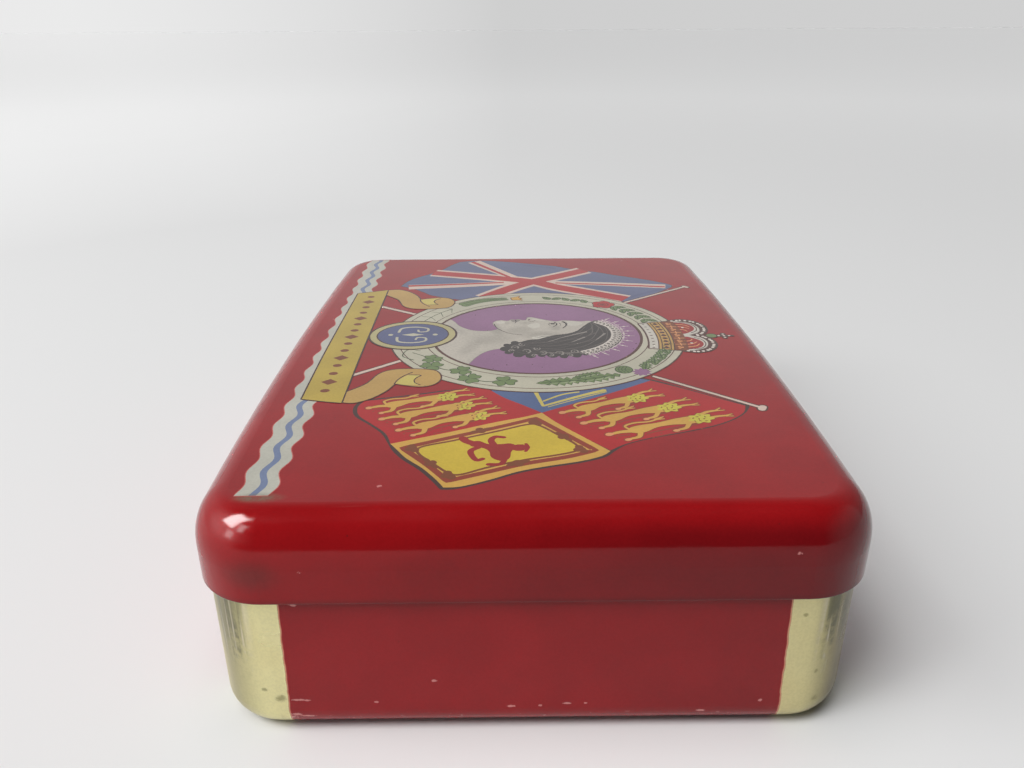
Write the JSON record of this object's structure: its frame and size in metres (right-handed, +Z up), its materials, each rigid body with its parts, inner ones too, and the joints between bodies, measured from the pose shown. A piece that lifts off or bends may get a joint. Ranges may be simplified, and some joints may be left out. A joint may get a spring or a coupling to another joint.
{
  "type": "slip-lid tin",
  "caption": "Shallow rectangular drawn tinplate tin with round corners; a printed slip lid with a rounded shoulder lifts off a base with a curled top edge.",
  "frame": {"origin": "middle of the plan on the resting plane, under the base's floor", "axes": "+Z up, the way the lid lifts; +Y along the tin's length; +X across it, towards the top of the printed picture"},
  "size_m": [0.0922, 0.127, 0.0345],
  "materials": {
    "lid_red_lacquer": "gloss",
    "base_red_lacquer": "gloss",
    "gold_lacquer": "gloss",
    "bare_tinplate": "satin",
    "print_cream": "gloss",
    "print_yellow": "gloss",
    "print_blue": "gloss",
    "print_green": "gloss",
    "print_violet": "gloss",
    "print_red": "gloss",
    "print_grey": "gloss",
    "print_dark": "gloss"
  },
  "bodies": {
    "base": {"base_shell": "base_red_lacquer"},
    "lid": {"lid_shell": "lid_red_lacquer"}
  },
  "joints": [
    {"name": "lid_lift", "type": "slide", "parent": "base", "child": "lid", "axis": [0, 0, 1], "range_m": [0, 0.05]}
  ]
}
